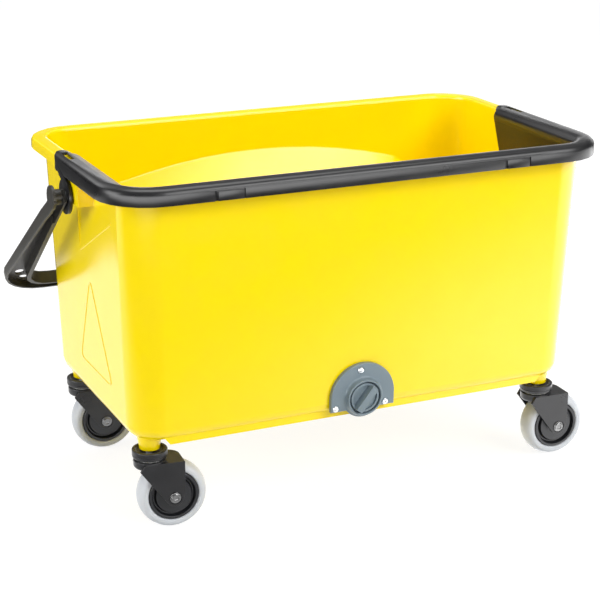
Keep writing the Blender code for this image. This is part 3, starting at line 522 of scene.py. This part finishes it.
def wall_place(y, z):
    """Matrix for a drawing on the left end wall: X towards the back, Y up the wall, Z out of it."""
    rise = (WALL_HALF_LENGTH - FOOT_HALF_LENGTH) / (RIM_UNDER - FLOOR_UNDER)
    spot = Vector((-FOOT_HALF_LENGTH - rise * (z - FLOOR_UNDER), y + shift_y, z))
    up = Vector((-rise, 0, 1)).normalized()
    along = Vector((0, -1, 0))
    return Matrix.Translation(spot) @ Matrix((along, up, along.cross(up))).transposed().to_4x4()


def sign_outline(inset):
    """Triangle with rounded corners as (across, up) points about the middle of its foot."""
    corners = [Vector((-SIGN_HALF, 0.0)), Vector((SIGN_HALF, 0.0)), Vector((0.0, SIGN_HEIGHT))]
    middle = sum(corners, Vector((0, 0))) / 3
    radius = SIGN_CORNER - inset * 0.5
    points = []
    for k, corner in enumerate(corners):
        here = corner + (middle - corner).normalized() * inset * 1.9
        back = (corners[k - 1] - corner).normalized()
        ahead = (corners[(k + 1) % 3] - corner).normalized()
        start, end = here + back * radius, here + ahead * radius
        for step in range(7):
            t = step / 6
            points.append(tuple((1 - t) ** 2 * start + 2 * t * (1 - t) * here + t * t * end))
    return points


def relief_slope():
    """Wedge that eases the step at the back of the left end wall's slanted relief."""
    outline = [(-0.2687, 0.0112), (-0.2646, -0.0015), (-0.2630, 0.0112)]
    slope = slab("relief_slope", outline, RELIEF_FOOT, RELIEF_TOP)
    tip = Vector((-0.2659, 0.0105, RELIEF_FOOT))
    for vertex in slope.data.vertices:
        if vertex.co.z < (RELIEF_FOOT + RELIEF_TOP) / 2:
            vertex.co = tip + (vertex.co - tip) * 0.05
        vertex.co.y += shift_y
    return slope


def crease_bead():
    """Low bead along the relief's slanted foot."""
    start, wide, crown = 0.002, 0.0015, 0.0005
    outline = [(start, -wide), (CREASE_LENGTH, -wide), (CREASE_LENGTH, wide), (start, wide)]
    bead = slab("crease_bead", outline, -0.0012, crown)
    into_edit(bead)
    pick_edges(bead, lambda co: co.z > crown - 1e-4)
    bpy.ops.mesh.bevel(offset=0.0004, segments=3, affect="EDGES")
    tidy_normals()
    return settle(bead, wall_place(*CREASE_SPOT) @ Matrix.Rotation(CREASE_SLOPE, 4, "Z"))


def make_tub():
    """Tub shell with softened folds and edges, and the small reliefs of its left end wall."""
    piece = worked_copy("tub", "tub_shell")
    soften_folds(piece, 14.0, 100.0, ARCH_ROUND, 3, on_arch)
    join_shape(piece, relief_slope(), "UNION")
    join_shape(piece, crease_bead(), "UNION")
    round_edges(piece, TUB_EDGE, 32.0, 3)
    sign = slab("sign_ring", sign_outline(0.0), -0.0006, 0.0005)
    join_shape(sign, slab("sign_hole", sign_outline(SIGN_LINE), -0.01, 0.01), "DIFFERENCE")
    settle(sign, wall_place(*SIGN_SPOT))
    join_shape(piece, sign, "UNION")
    smooth(piece, 45.0)
    return dress(piece, "yellow", "bucket", "yellow_polypropylene", "tub")


def lip_shoulder(side):
    """Full rounding from the trim's crown to the top of its apron, as (out, rise) from the rim's edge."""
    section = [(-0.0100, CROWN_RISE), (-0.0140, CROWN_RISE), (-0.0170, 0.0023), (-0.0200, 0.0013),
               (-0.0226, -0.0001), (-0.0247, -0.0018), (-0.0262, -0.0040), (-0.0270, -0.0066),
               (-0.0272, -0.0110), (-0.0256, -0.0110), (-0.0235, -0.0060), (-0.0200, -0.0045),
               (-0.0186, -0.0012), (-0.0160, 0.0010), (-0.0100, 0.0012)]
    front, back = LIP_FRONT + shift_y, APRON_ENDS[side] - 0.0005 + shift_y
    outline = [(side * (RIM_HALF_LENGTH + out), RIM_TOP + rise) for out, rise in section]
    shoulder = slab("lip_shoulder", outline, -back, -front)
    settle(shoulder, Matrix.Rotation(math.pi / 2, 4, "X"))
    for vertex in shoulder.data.vertices:
        if vertex.co.y > 0:
            vertex.co.y -= APRON_SLANT * (RIM_TOP + CROWN_RISE - vertex.co.z)
    return shoulder


def make_trim():
    """Rim trim with its inner shoulders, merged fine and rounded."""
    piece = worked_copy("rim_trim", "rim_guard")
    for side in (-1, 1):
        join_shape(piece, lip_shoulder(side), "UNION")
    into_edit(piece)
    bpy.ops.mesh.select_all(action="SELECT")
    bpy.ops.mesh.remove_doubles(threshold=TRIM_MERGE)
    bpy.ops.mesh.dissolve_limited(angle_limit=math.radians(0.6))
    bpy.ops.object.mode_set(mode="OBJECT")
    round_edges(piece, TRIM_EDGE, 45.0, 2)
    smooth(piece, 60.0, flat=False)
    return dress(piece, "black", "bucket", "black_polypropylene", "rim_trim")


def trim_outer_flange(piece, place):
    """Draw the foot of the bail's outer flange up towards the web, easing in below the ears."""
    flat, up = place.inverted(), place.to_3x3() @ Vector((0, 0, 1))
    for vertex in piece.data.vertices:
        x, y, z = flat @ vertex.co
        outer = abs(x) > BAIL_MIDDLE or y > BAIL_NEAR + BAIL_WIDTH / 2
        if z < BAIL_FOOT + 0.0015 and outer:
            ease = min(1.0, max(0.0, (y - BAIL_NECK) / FLANGE_EASE))
            vertex.co += up * FLANGE_TRIM * ease


def make_bail():
    """Bail channel with two large and two small ovals through the web at each elbow."""
    piece = worked_copy("bail_handle", "bail_channel")
    pivot = joints["bail_swing"]["pos_m"]
    place = Matrix.Translation((0, pivot[1], pivot[2])) @ Matrix.Rotation(-BAIL_DROP, 4, "X")
    trim_outer_flange(piece, place)
    ovals = ((BAIL_INNER + 0.0088, -0.0125, 20, 0.0026, 0.0052),
             (BAIL_INNER + 0.0005, 0.0050, 45, 0.0026, 0.0052),
             (0.2773, 0.0165, 60, 0.0008, 0.0026),
             (0.2703, 0.0165, 75, 0.0008, 0.0026))
    for side in (-1, 1):
        for x, y, angle, half, radius in ovals:
            oval = arc((0, half), radius, 0, 180, 12) + arc((0, -half), radius, 180, 360, 12)
            cut = slab("bail_oval", oval, -0.006, 0.014)
            spot = Matrix.Translation((side * x, BAIL_NEAR + y, 0))
            turn = Matrix.Rotation(side * math.radians(angle), 4, "Z")
            join_shape(piece, settle(cut, place @ spot @ turn), "DIFFERENCE")
    round_edges(piece, BAIL_EDGE, 32.0, 2)
    smooth(piece, 40.0)
    return dress(piece, "bail", "bail", "charcoal_polypropylene", "bail_handle")


# Casters

def caster_places(tag):
    """Matrix of a caster's stem axis with its heading, and the same without it."""
    x, y, _ = joints["swivel_" + tag]["pos_m"]
    across = joints["roll_" + tag]["axis"]
    heading = math.atan2(-across[0], across[1])
    still = Matrix.Translation((x, y, 0))
    return still @ Matrix.Rotation(heading, 4, "Z"), still


def make_cap_form():
    """Round cap with a seam round its wall, a broad rim and a shallow dish under the socket."""
    dish = [(STEM_BORE, CAP_FOOT + 0.0002), (CAP_RADIUS - 0.0005, CAP_FOOT + 0.0002),
            (CAP_RADIUS - 0.0001, CAP_FOOT + 0.0034), (CAP_RADIUS - 0.0007, CAP_FOOT + 0.0037),
            (CAP_RADIUS - 0.0001, CAP_FOOT + 0.0040), (CAP_RADIUS - 0.0001, CAP_TOP - 0.0001),
            (0.0152, CAP_TOP - 0.0001), (0.0138, CAP_TOP - 0.0022), (STEM_BORE, CAP_TOP - 0.0024)]
    return smooth(lathe("cap_form", fillet(dish, 0.0015, 4), 64, True))


def make_fork_form():
    """Fork cut from one block: side and plan outlines, wheel slot, swivel ring, bores, recesses."""
    axle = (TRAIL, WHEEL_RADIUS)
    half = FORK_HALF_WIDTH
    top = FORK_TOP - HOOD_DROP
    side = [(-0.0100, top), (-0.0145, FORK_TOP - 0.0085)]
    side += arc(axle, 0.0098, 222, 330, 14)
    side += [(HOOD_END, WHEEL_RADIUS + 0.004), (HOOD_END, top)]
    fork = slab("fork_form", side, -half, half)
    settle(fork, Matrix.Rotation(math.pi / 2, 4, "X"))
    far = 0.013
    plan = [(-0.02, -half), (HOOD_END, -half)]
    plan += arc((HOOD_END - far, half - far), far, 0, 90, 12) + [(-0.02, half)]
    join_shape(fork, slab("fork_plan", plan, 0, FORK_TOP), "INTERSECT")
    round_edges(fork, 0.0009, 40.0, 3)
    inner = half - FORK_CHEEK
    slot = block("fork_slot", (-0.06, -inner, -0.01), (0.08, inner, FORK_UNDER))
    into_edit(slot)
    pick_edges(slot, lambda co: co.z > FORK_UNDER - 1e-5)
    bpy.ops.mesh.bevel(offset=0.003, segments=4, affect="EDGES")
    tidy_normals()
    join_shape(fork, slot, "DIFFERENCE")
    profile = [(FORK_RING - 0.004, SKIRT_FOOT), (FORK_RING - 0.0012, SKIRT_FOOT),
               (FORK_RING, SKIRT_FOOT + 0.002), (FORK_RING, FORK_TOP), (FORK_RING - 0.004, FORK_TOP)]
    ring = lathe("fork_ring", fillet(profile, 0.0008, 3), 56)
    throat = block("fork_throat", (0.0005, -0.03, 0.05), (0.05, 0.03, FORK_UNDER + 0.0002))
    join_shape(ring, throat, "DIFFERENCE")
    join_shape(fork, ring, "UNION")
    join_shape(fork, lathe("stem_bore", [(STEM_BORE, 0.05), (STEM_BORE, 0.1)], 40), "DIFFERENCE")
    head = STEM_HEAD + 0.001
    pocket = lathe("stem_pocket", [(head, 0.05), (head, FORK_UNDER + 0.0003)], 40)
    join_shape(fork, pocket, "DIFFERENCE")
    turn = Matrix.Translation((TRAIL, 0, WHEEL_RADIUS)) @ Matrix.Rotation(math.pi / 2, 4, "X")
    bore = lathe("axle_bore", [(0.0045, -0.05), (0.0045, 0.05)], 40)
    join_shape(fork, settle(bore, turn), "DIFFERENCE")
    recess = lathe("axle_recess", [(0.0072, half - 0.0010), (0.0076, half + 0.01)], 40)
    join_shape(fork, settle(recess, turn), "DIFFERENCE")
    return smooth(fork, 38.0)


def make_tyre_form():
    """Crowned tyre with a flat sidewall and a shallow step beside the hub."""
    wide = TYRE_HALF_WIDTH
    side = fillet([(TYRE_BORE, 0.0), (TYRE_BORE, wide - 0.0012), (TYRE_BORE + 0.0008, wide - 0.0004),
                   (TYRE_BORE + 0.0016, wide), (WHEEL_RADIUS - TYRE_CROWN, wide)], 0.0004, 2)
    base, angles = WHEEL_RADIUS - TYRE_CROWN, [math.radians(a) for a in range(84, -1, -6)]
    edge = side + [(base + TYRE_CROWN * math.cos(a), wide * math.sin(a)) for a in angles]
    tyre = lathe("tyre_form", edge + [(r, -z) for r, z in reversed(edge[1:-1])], 96, True)
    return smooth(tyre, 50.0)


def make_hub_form():
    """Dished hub: a flat inner disc, a deep groove round it and an outer ring."""
    wide = TYRE_HALF_WIDTH
    half = [(0.0066, 0.0), (0.0066, wide + 0.0007), (0.0098, wide + 0.0007), (0.0106, wide - 0.0004),
            (0.0193, wide - 0.0006), (0.0204, wide - 0.0052), (0.0227, wide - 0.0052), (0.0238, wide + 0.0002),
            (0.0262, wide + 0.0002), (TYRE_BORE - 0.0004, wide - 0.0008), (TYRE_BORE - 0.0004, 0.0)]
    edge = fillet(half, 0.0008, 3)
    hub = lathe("hub_form", edge + [(r, -z) for r, z in reversed(edge[1:-1])], 80, True)
    return smooth(hub, 45.0)


def make_axle_form():
    """Axle with a six-sided head and a socket on the near side, and a plain end behind the nut."""
    half = FORK_HALF_WIDTH
    shape = [(0.0024, -half - 0.0068), (0.0036, -half - 0.0066), (0.0040, -half - 0.0058),
             (0.0040, half - 0.0008), (0.0060, half - 0.0008), (0.0060, half + 0.0004), (0.0036, half + 0.0004)]
    head = [(0.0055, half - 0.0002), (0.0055, half + 0.0016), (0.0046, half + 0.0022)]
    socket = [(0.0012, half + 0.0006), (0.0026, half + 0.0012), (0.0032, half + 0.01)]
    axle = lathe("axle_form", fillet(shape, 0.0004, 3), 40)
    join_shape(axle, lathe("axle_head", head, 6), "UNION")
    join_shape(axle, lathe("axle_socket", socket, 24), "DIFFERENCE")
    round_edges(axle, 0.0003, 40.0, 2)
    return smooth(axle, 35.0)


def make_casters():
    """Four casters, each with its own copies of the five forms."""
    forms = {"cap": make_cap_form(), "fork": make_fork_form(), "tyre": make_tyre_form(),
             "hub": make_hub_form(), "axle": make_axle_form()}
    across = Matrix.Rotation(math.pi / 2, 4, "X")
    for tag in CASTERS:
        turned, still = caster_places(tag)
        wheel = turned @ Matrix.Translation((TRAIL, 0, WHEEL_RADIUS)) @ across
        swivel, roll = "caster_" + tag, "wheel_" + tag
        for form, matrix, finish, body, slot, node in (
                ("cap", still, "caster", "bucket", "black_polypropylene", "caster_cap_"),
                ("fork", turned, "caster", swivel, "black_polypropylene", "caster_fork_"),
                ("axle", wheel, "axle", swivel, "zinc_plated_steel", "caster_axle_"),
                ("hub", wheel, "hub", roll, "dark_hub_plastic", "wheel_hub_"),
                ("tyre", wheel, "tyre", roll, "grey_rubber_tyre", "wheel_tyre_")):
            piece = duplicate(forms[form], "%s_%s" % (form, tag), matrix)
            dress(piece, finish, body, slot, node + tag)
    for form in forms.values():
        bpy.data.objects.remove(form, do_unlink=True)


# Drain

def drain_place():
    """Matrix that stands a drawing of the drain in the front wall."""
    spot, out = joints["drain_turn"]["pos_m"], joints["drain_turn"]["axis"]
    lean = math.atan2(-out[2], -out[1])
    return Matrix.Translation(spot) @ Matrix.Rotation(lean, 4, "X") @ Matrix.Rotation(math.pi / 2, 4, "X")


def make_drain():
    """Drain pieces drawn with the outward way along +Z and up along +Y, then stood in the wall."""
    place = drain_place()
    make_drain_flange(place)
    make_drain_plug(place)
    make_drain_screws(place)


def make_drain_flange(place):
    """Half-round plate with a flared collar, a pocket for the gasket and three screw sinks."""
    outline = [(-PLATE_HALF, PLATE_FOOT), (PLATE_HALF, PLATE_FOOT)]
    outline += arc((0, 0), PLATE_HALF, 0, 180, 56)
    flange = slab("drain_plate", outline, 0.0006, PLATE_FRONT)
    into_edit(flange)
    pick_edges(flange, lambda co: co.z > PLATE_FRONT - 1e-5)
    bpy.ops.mesh.bevel(offset=0.0012, segments=4, affect="EDGES")
    tidy_normals()
    collar = [(0.0140, -0.0118), (0.0164, -0.0118), (0.0164, 0.0030),
              (COLLAR_OUT + 0.0042, PLATE_FRONT - 0.0004), (COLLAR_OUT + 0.0014, PLATE_FRONT + 0.0012),
              (COLLAR_OUT, COLLAR_REACH - 0.0002),
              (COLLAR_IN + 0.0005, COLLAR_REACH - 0.0002), (COLLAR_IN, COLLAR_REACH - 0.0008),
              (COLLAR_IN, COLLAR_SEAT), (0.0140, COLLAR_SEAT - 0.0008)]
    trimmed = [(x * 0.991, y * 0.991) for x, y in outline]
    join_shape(flange, slab("gasket_pocket", trimmed, -0.01, PLATE_BACK), "DIFFERENCE")
    hole = lathe("plate_hole", [(0.0150, -0.05), (0.0150, 0.05)], 64)
    join_shape(flange, hole, "DIFFERENCE")
    join_shape(flange, lathe("drain_collar", fillet(collar, 0.0008, 3), 64, True), "UNION")
    sink = [(0.0018, -0.01), (0.0018, PLATE_FRONT - 0.0004), (0.0046, PLATE_FRONT - 0.0002), (0.0046, 0.02)]
    for _, x, y in SCREW_SPOTS:
        cut = settle(lathe("screw_sink", sink, 32), Matrix.Translation((x, y, 0)))
        join_shape(flange, cut, "DIFFERENCE")
    smooth(flange, 35.0)
    dress(settle(flange, place), "grey", "bucket", "grey_polypropylene", "drain_flange")


def make_drain_plug(place):
    """Plug with a grooved shank, a dished knob and a raised grip bar across it."""
    under = COLLAR_SEAT + 0.0009
    knob = [(0.0010, -0.0078), (0.0120, -0.0078), (0.0130, -0.0070), (0.0130, -0.0022),
            (0.0106, -0.0022), (0.0106, 0.0010), (0.0130, 0.0010), (0.0130, under), (KNOB, under),
            (KNOB, KNOB_FACE - 0.0002), (0.0010, KNOB_FACE - 0.0002)]
    plug = lathe("drain_knob", fillet(knob, 0.0008, 3), 64)
    floor_cut = KNOB_FACE - 0.0028
    dish = fillet([(KNOB - 0.0026, floor_cut), (KNOB - 0.0014, KNOB_FACE + 0.01)], 0.001)
    join_shape(plug, lathe("knob_dish", dish, 64), "DIFFERENCE")
    grip = block("knob_grip", (-GRIP_HALF, -KNOB, floor_cut - 0.001), (GRIP_HALF, KNOB, GRIP_TOP))
    ends = lathe("grip_ends", [(KNOB - 0.0004, 0.0), (KNOB - 0.0012, 0.03)], 64)
    join_shape(grip, ends, "INTERSECT")
    join_shape(plug, grip, "UNION")
    settle(plug, Matrix.Rotation(GRIP_TURN, 4, "Z"))
    round_edges(plug, 0.0005, 50.0, 2)
    smooth(plug, 40.0)
    dress(settle(plug, place), "grey", "drain_stopper", "grey_polypropylene", "drain_plug")


def make_drain_screws(place):
    """Three domed cross-head screws, each turned its own way."""
    head = PLATE_FRONT - 0.0004
    shape = [(0.0014, -0.0020), (0.0014, head), (0.0036, head), (0.0036, head + 0.0008),
             (0.0026, head + 0.0021), (0.0006, head + 0.0025)]
    screw = lathe("screw_form", fillet(shape, 0.0007, 3), 32)
    for wide, tall in ((0.0019, 0.00035), (0.00035, 0.0019)):
        cross = block("screw_cross", (-wide, -tall, head + 0.0010), (wide, tall, head + 0.01))
        join_shape(screw, cross, "DIFFERENCE")
    smooth(screw, 35.0)
    for k, (tag, x, y) in enumerate(SCREW_SPOTS):
        spin = Matrix.Translation((x, y, 0)) @ Matrix.Rotation(0.5 + 0.7 * k, 4, "Z")
        piece = duplicate(screw, "plate_screw_" + tag, place @ spin)
        dress(piece, "zinc", "bucket", "zinc_plated_steel", "drain_screw_" + tag)
    bpy.data.objects.remove(screw, do_unlink=True)


def dress_kept_solids():
    """Finishes for the small hidden solids that stay as they are."""
    kept = {"bail_pin_left": "zinc", "bail_pin_right": "zinc", "drain_gasket": "seal", "drain_seal": "seal"}
    for tag in CASTERS:
        kept.update({"caster_stem_" + tag: "zinc", "caster_washer_" + tag: "nylon",
                     "axle_nut_" + tag: "zinc", "wheel_bush_" + tag: "zinc"})
    for node, finish in kept.items():
        for slot in frame["nodes"][node].material_slots:
            slot.material = finishes[finish]


# Studio

def softbox(name, place, aim, size, level):
    """Oblong lamp that lights a facing surface to a level; at 1 a colour shows as it is written."""
    lamp = bpy.data.lights.new(name, "AREA")
    lamp.shape = "RECTANGLE"
    lamp.size, lamp.size_y = size
    way = Vector(aim) - Vector(place)
    lamp.energy = level * math.pi ** 2 * way.length_squared
    holder = bpy.data.objects.new(name, lamp)
    holder.location = place
    holder.rotation_euler = way.to_track_quat("-Z", "Y").to_euler()
    bpy.context.collection.objects.link(holder)


def ramp(tree, place, source, start, end, low=0.0, high=1.0):
    """Smooth change of a value, from one level at the start to another at the end."""
    node = add_node(tree, "ShaderNodeMapRange", place, interpolation_type="SMOOTHSTEP")
    for label, value in (("From Min", start), ("From Max", end), ("To Min", low), ("To Max", high)):
        node.inputs[label].default_value = value
    tree.links.new(source, node.inputs["Value"])
    return node.outputs["Result"]


def reckon(tree, place, operation, *terms):
    """One reckoning with values that are sockets or plain numbers."""
    node = add_node(tree, "ShaderNodeMath", place, operation=operation)
    for socket, term in zip(node.inputs, terms):
        if isinstance(term, float):
            socket.default_value = term
        else:
            tree.links.new(term, socket)
    return node.outputs[0]


def make_floor():
    """White floor with a faint shadow. In gloss it is bright behind the tub and far ahead, else dark."""
    clear_selection()
    bpy.ops.mesh.primitive_plane_add(size=30, location=(0, 0, 0))
    floor = named("studio_floor")
    material = bpy.data.materials.new("studio_white")
    material.use_nodes = True
    tree = material.node_tree
    tree.nodes.clear()
    link = tree.links.new
    leave = add_node(tree, "ShaderNodeOutputMaterial", (700, 0))
    path = add_node(tree, "ShaderNodeLightPath", (-500, 500))
    place = add_node(tree, "ShaderNodeTexCoord", (-1100, -300))
    split = add_node(tree, "ShaderNodeSeparateXYZ", (-900, -300))
    link(place.outputs["Object"], split.inputs[0])
    x, y = split.outputs["X"], split.outputs["Y"]
    lean = reckon(tree, (-700, -300), "MULTIPLY_ADD", x, GROUND_SLANT, y)
    lit = ramp(tree, (-500, -300), lean, -0.68, -0.12)
    patch = ramp(tree, (-500, -560), x, -0.15, 0.45, 1.35, 3.2)
    fade = ramp(tree, (-500, -820), y, 0.74, 0.86, 1.0, 0.08)
    far = ramp(tree, (-500, -1080), lean, -1.20, -2.00, 0.0, FRONT_GLOW)
    behind = reckon(tree, (-340, -380), "MULTIPLY", lit, patch)
    gloss = reckon(tree, (-340, -620), "MULTIPLY_ADD", behind, fade, far)
    glossy = reckon(tree, (-200, 500), "MAXIMUM", path.outputs["Is Glossy Ray"],
                    path.outputs["Is Transmission Ray"])
    shown = add_node(tree, "ShaderNodeEmission", (-200, 300))
    shown.inputs["Strength"].default_value = 0.86
    shadow = add_node(tree, "ShaderNodeBsdfDiffuse", (-200, 150))
    shadow.inputs["Color"].default_value = (0.24, 0.24, 0.24, 1)
    seen = add_node(tree, "ShaderNodeAddShader", (0, 250))
    mirrored = add_node(tree, "ShaderNodeEmission", (-200, -200))
    bounce = add_node(tree, "ShaderNodeBsdfDiffuse", (-200, 0))
    bounce.inputs["Color"].default_value = (0.72, 0.72, 0.72, 1)
    inner = add_node(tree, "ShaderNodeMixShader", (200, 0))
    outer = add_node(tree, "ShaderNodeMixShader", (450, 0))
    link(gloss, mirrored.inputs["Strength"])
    link(shown.outputs[0], seen.inputs[0])
    link(shadow.outputs[0], seen.inputs[1])
    link(glossy, inner.inputs[0])
    link(bounce.outputs[0], inner.inputs[1])
    link(mirrored.outputs[0], inner.inputs[2])
    link(path.outputs["Is Camera Ray"], outer.inputs[0])
    link(inner.outputs[0], outer.inputs[1])
    link(seen.outputs[0], outer.inputs[2])
    link(outer.outputs[0], leave.inputs["Surface"])
    floor.data.materials.append(material)


def make_world():
    """White air. In gloss it is grey overhead, glows low in front, and has two bright bands behind."""
    world = bpy.data.worlds.new("studio_air")
    bpy.context.scene.world = world
    world.use_nodes = True
    tree = world.node_tree
    link = tree.links.new
    sky = tree.nodes["Background"]
    sky.inputs["Color"].default_value = (1, 1, 1, 1)
    path = add_node(tree, "ShaderNodeLightPath", (-1000, 200))
    way = add_node(tree, "ShaderNodeTexCoord", (-1000, -200))
    split = add_node(tree, "ShaderNodeSeparateXYZ", (-800, -200))
    link(way.outputs["Generated"], split.inputs[0])
    x, y, z = (split.outputs[axis] for axis in "XYZ")
    overhead = ramp(tree, (-600, -200), z, 0.15, 1.0, 0.05, 0.60)
    lean = reckon(tree, (-800, -1260), "MULTIPLY_ADD", x, GROUND_SLANT, y)
    ahead = ramp(tree, (-600, -1260), lean, -0.35, -0.60, 0.0, FRONT_GLOW)
    lowest = ramp(tree, (-600, -1520), z, 0.28, 0.10)
    front = reckon(tree, (-420, -1300), "MULTIPLY_ADD", ahead, lowest, overhead)
    leftward = ramp(tree, (-600, -740), x, 0.25, -0.40, 0.15, 3.2)
    left_end = ramp(tree, (-600, -1780), x, -0.54, -0.40)
    risen = ramp(tree, (-600, -2040), z, 0.30, 0.42)
    window = reckon(tree, (-420, -1780), "MULTIPLY", left_end, risen)
    rightward = ramp(tree, (-600, -2300), x, 0.20, 0.34, 0.0, 2.2)
    skyline = ramp(tree, (-600, -2560), z, 0.20, 0.12)
    skim = reckon(tree, (-420, -2300), "MULTIPLY", rightward, skyline)
    bands = reckon(tree, (-420, -760), "MULTIPLY_ADD", leftward, window, skim)
    under = ramp(tree, (-600, -1000), z, 0.75, 0.50)
    behind = ramp(tree, (-600, -480), y, 0.35, 0.75)
    back = reckon(tree, (-420, -1000), "MULTIPLY", under, behind)
    mirrored = reckon(tree, (-240, -560), "MULTIPLY_ADD", bands, back, front)
    shown = reckon(tree, (-600, 200), "MAXIMUM", path.outputs["Is Camera Ray"],
                   path.outputs["Is Transmission Ray"])
    gloss = add_node(tree, "ShaderNodeMix", (-400, 0))
    gloss.inputs["A"].default_value = 0.42
    level = add_node(tree, "ShaderNodeMix", (-200, 200))
    level.inputs["B"].default_value = 1.0
    link(path.outputs["Is Glossy Ray"], gloss.inputs["Factor"])
    link(mirrored, gloss.inputs["B"])
    link(shown, level.inputs["Factor"])
    link(gloss.outputs["Result"], level.inputs["A"])
    link(level.outputs["Result"], sky.inputs["Strength"])


def make_camera():
    """Camera at the photograph's viewing angle."""
    right = Vector((math.cos(CAMERA_YAW), -math.sin(CAMERA_YAW), 0))
    flat = math.cos(CAMERA_PITCH)
    ahead = Vector((math.sin(CAMERA_YAW) * flat, math.cos(CAMERA_YAW) * flat, -math.sin(CAMERA_PITCH)))
    up = right.cross(ahead)
    side = math.cos(CAMERA_ROLL) * right + math.sin(CAMERA_ROLL) * up
    over = -math.sin(CAMERA_ROLL) * right + math.cos(CAMERA_ROLL) * up
    lens = bpy.data.cameras.new("photo_camera")
    lens.lens = CAMERA_LENS
    lens.sensor_width = 36.0
    holder = bpy.data.objects.new("photo_camera", lens)
    holder.matrix_world = Matrix((side, over, -ahead)).transposed().to_4x4()
    holder.location = Vector(CAMERA_SPOT) + Vector((0, shift_y, 0))
    bpy.context.collection.objects.link(holder)
    bpy.context.scene.camera = holder


make_tub()
make_trim()
make_bail()
make_casters()
make_drain()
dress_kept_solids()
make_floor()
make_world()
for lamp in LAMPS:
    softbox(*lamp)
make_camera()

bpy.context.scene.view_settings.view_transform = "Standard"
